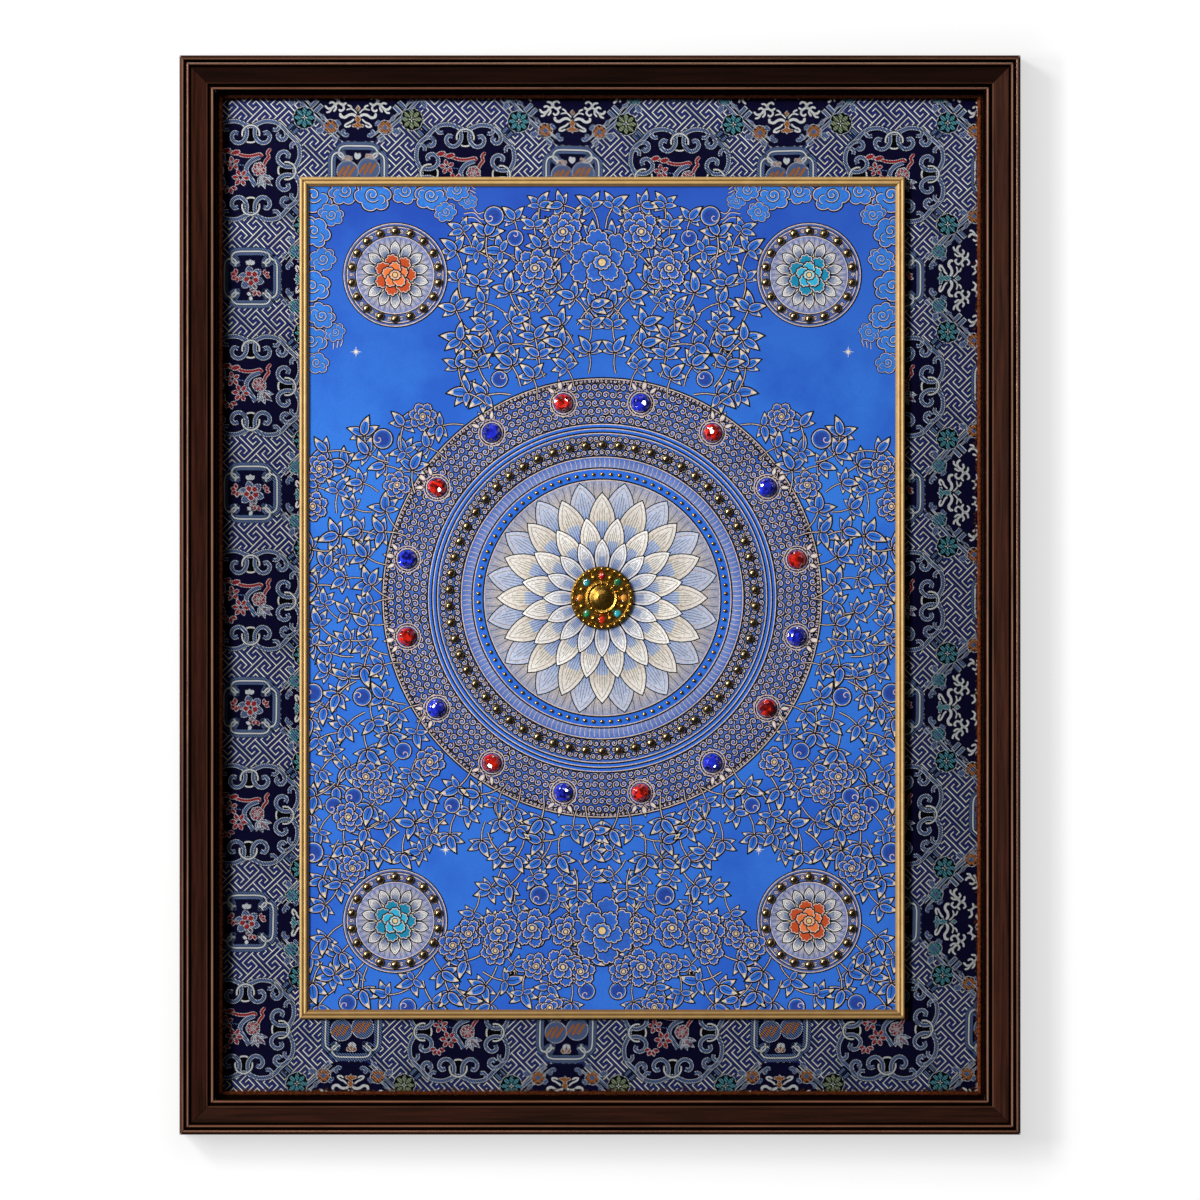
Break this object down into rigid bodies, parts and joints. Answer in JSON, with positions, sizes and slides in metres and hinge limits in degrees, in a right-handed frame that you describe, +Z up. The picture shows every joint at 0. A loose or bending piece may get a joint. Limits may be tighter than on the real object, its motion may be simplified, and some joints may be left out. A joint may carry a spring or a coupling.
{
  "type": "framed thangka painting",
  "caption": "Rectangular picture in a dark moulded wooden frame: blue cloth with round stones and a boss, gilt fillet, patterned brocade border.",
  "frame": {"origin": "middle of the top rail's back face, where the frame bears on the wall", "axes": "+X to the viewer's right along the frame's width, +Y into the wall, +Z up; the front faces -Y"},
  "size_m": [0.6, 0.025, 0.77],
  "materials": {
    "stained_wood": "dark red-brown stain under satin lacquer, fine grain",
    "gilt_wood": "satin gold leaf over a reeded moulding",
    "backing": "plain brown fibre board",
    "brocade": "navy silk brocade with blue, cream, red and green figures",
    "picture_cloth": "bright blue printed and painted canvas, matt",
    "blue_glass": "faceted deep blue glass, foiled back",
    "red_glass": "faceted ruby red glass, foiled back",
    "gilt_metal": "polished antique gold"
  },
  "bodies": {
    "root": {"frame_bottom": "stained_wood", "frame_right": "stained_wood", "frame_top": "stained_wood", "frame_left": "stained_wood", "fillet_bottom": "gilt_wood", "fillet_right": "gilt_wood", "fillet_top": "gilt_wood", "fillet_left": "gilt_wood", "backing_board": "backing", "brocade_sheet": "brocade", "picture_sheet": "picture_cloth", "boss": "gilt_metal", "stone_blue_1": "blue_glass", "stone_red_1": "red_glass", "stone_blue_2": "blue_glass", "stone_red_2": "red_glass", "stone_blue_3": "blue_glass", "stone_red_3": "red_glass", "stone_blue_4": "blue_glass", "stone_red_4": "red_glass", "stone_blue_5": "blue_glass", "stone_red_5": "red_glass", "stone_blue_6": "blue_glass", "stone_red_6": "red_glass", "stone_blue_7": "blue_glass", "stone_red_7": "red_glass", "stone_blue_8": "blue_glass", "stone_red_8": "red_glass"}
  },
  "joints": []
}
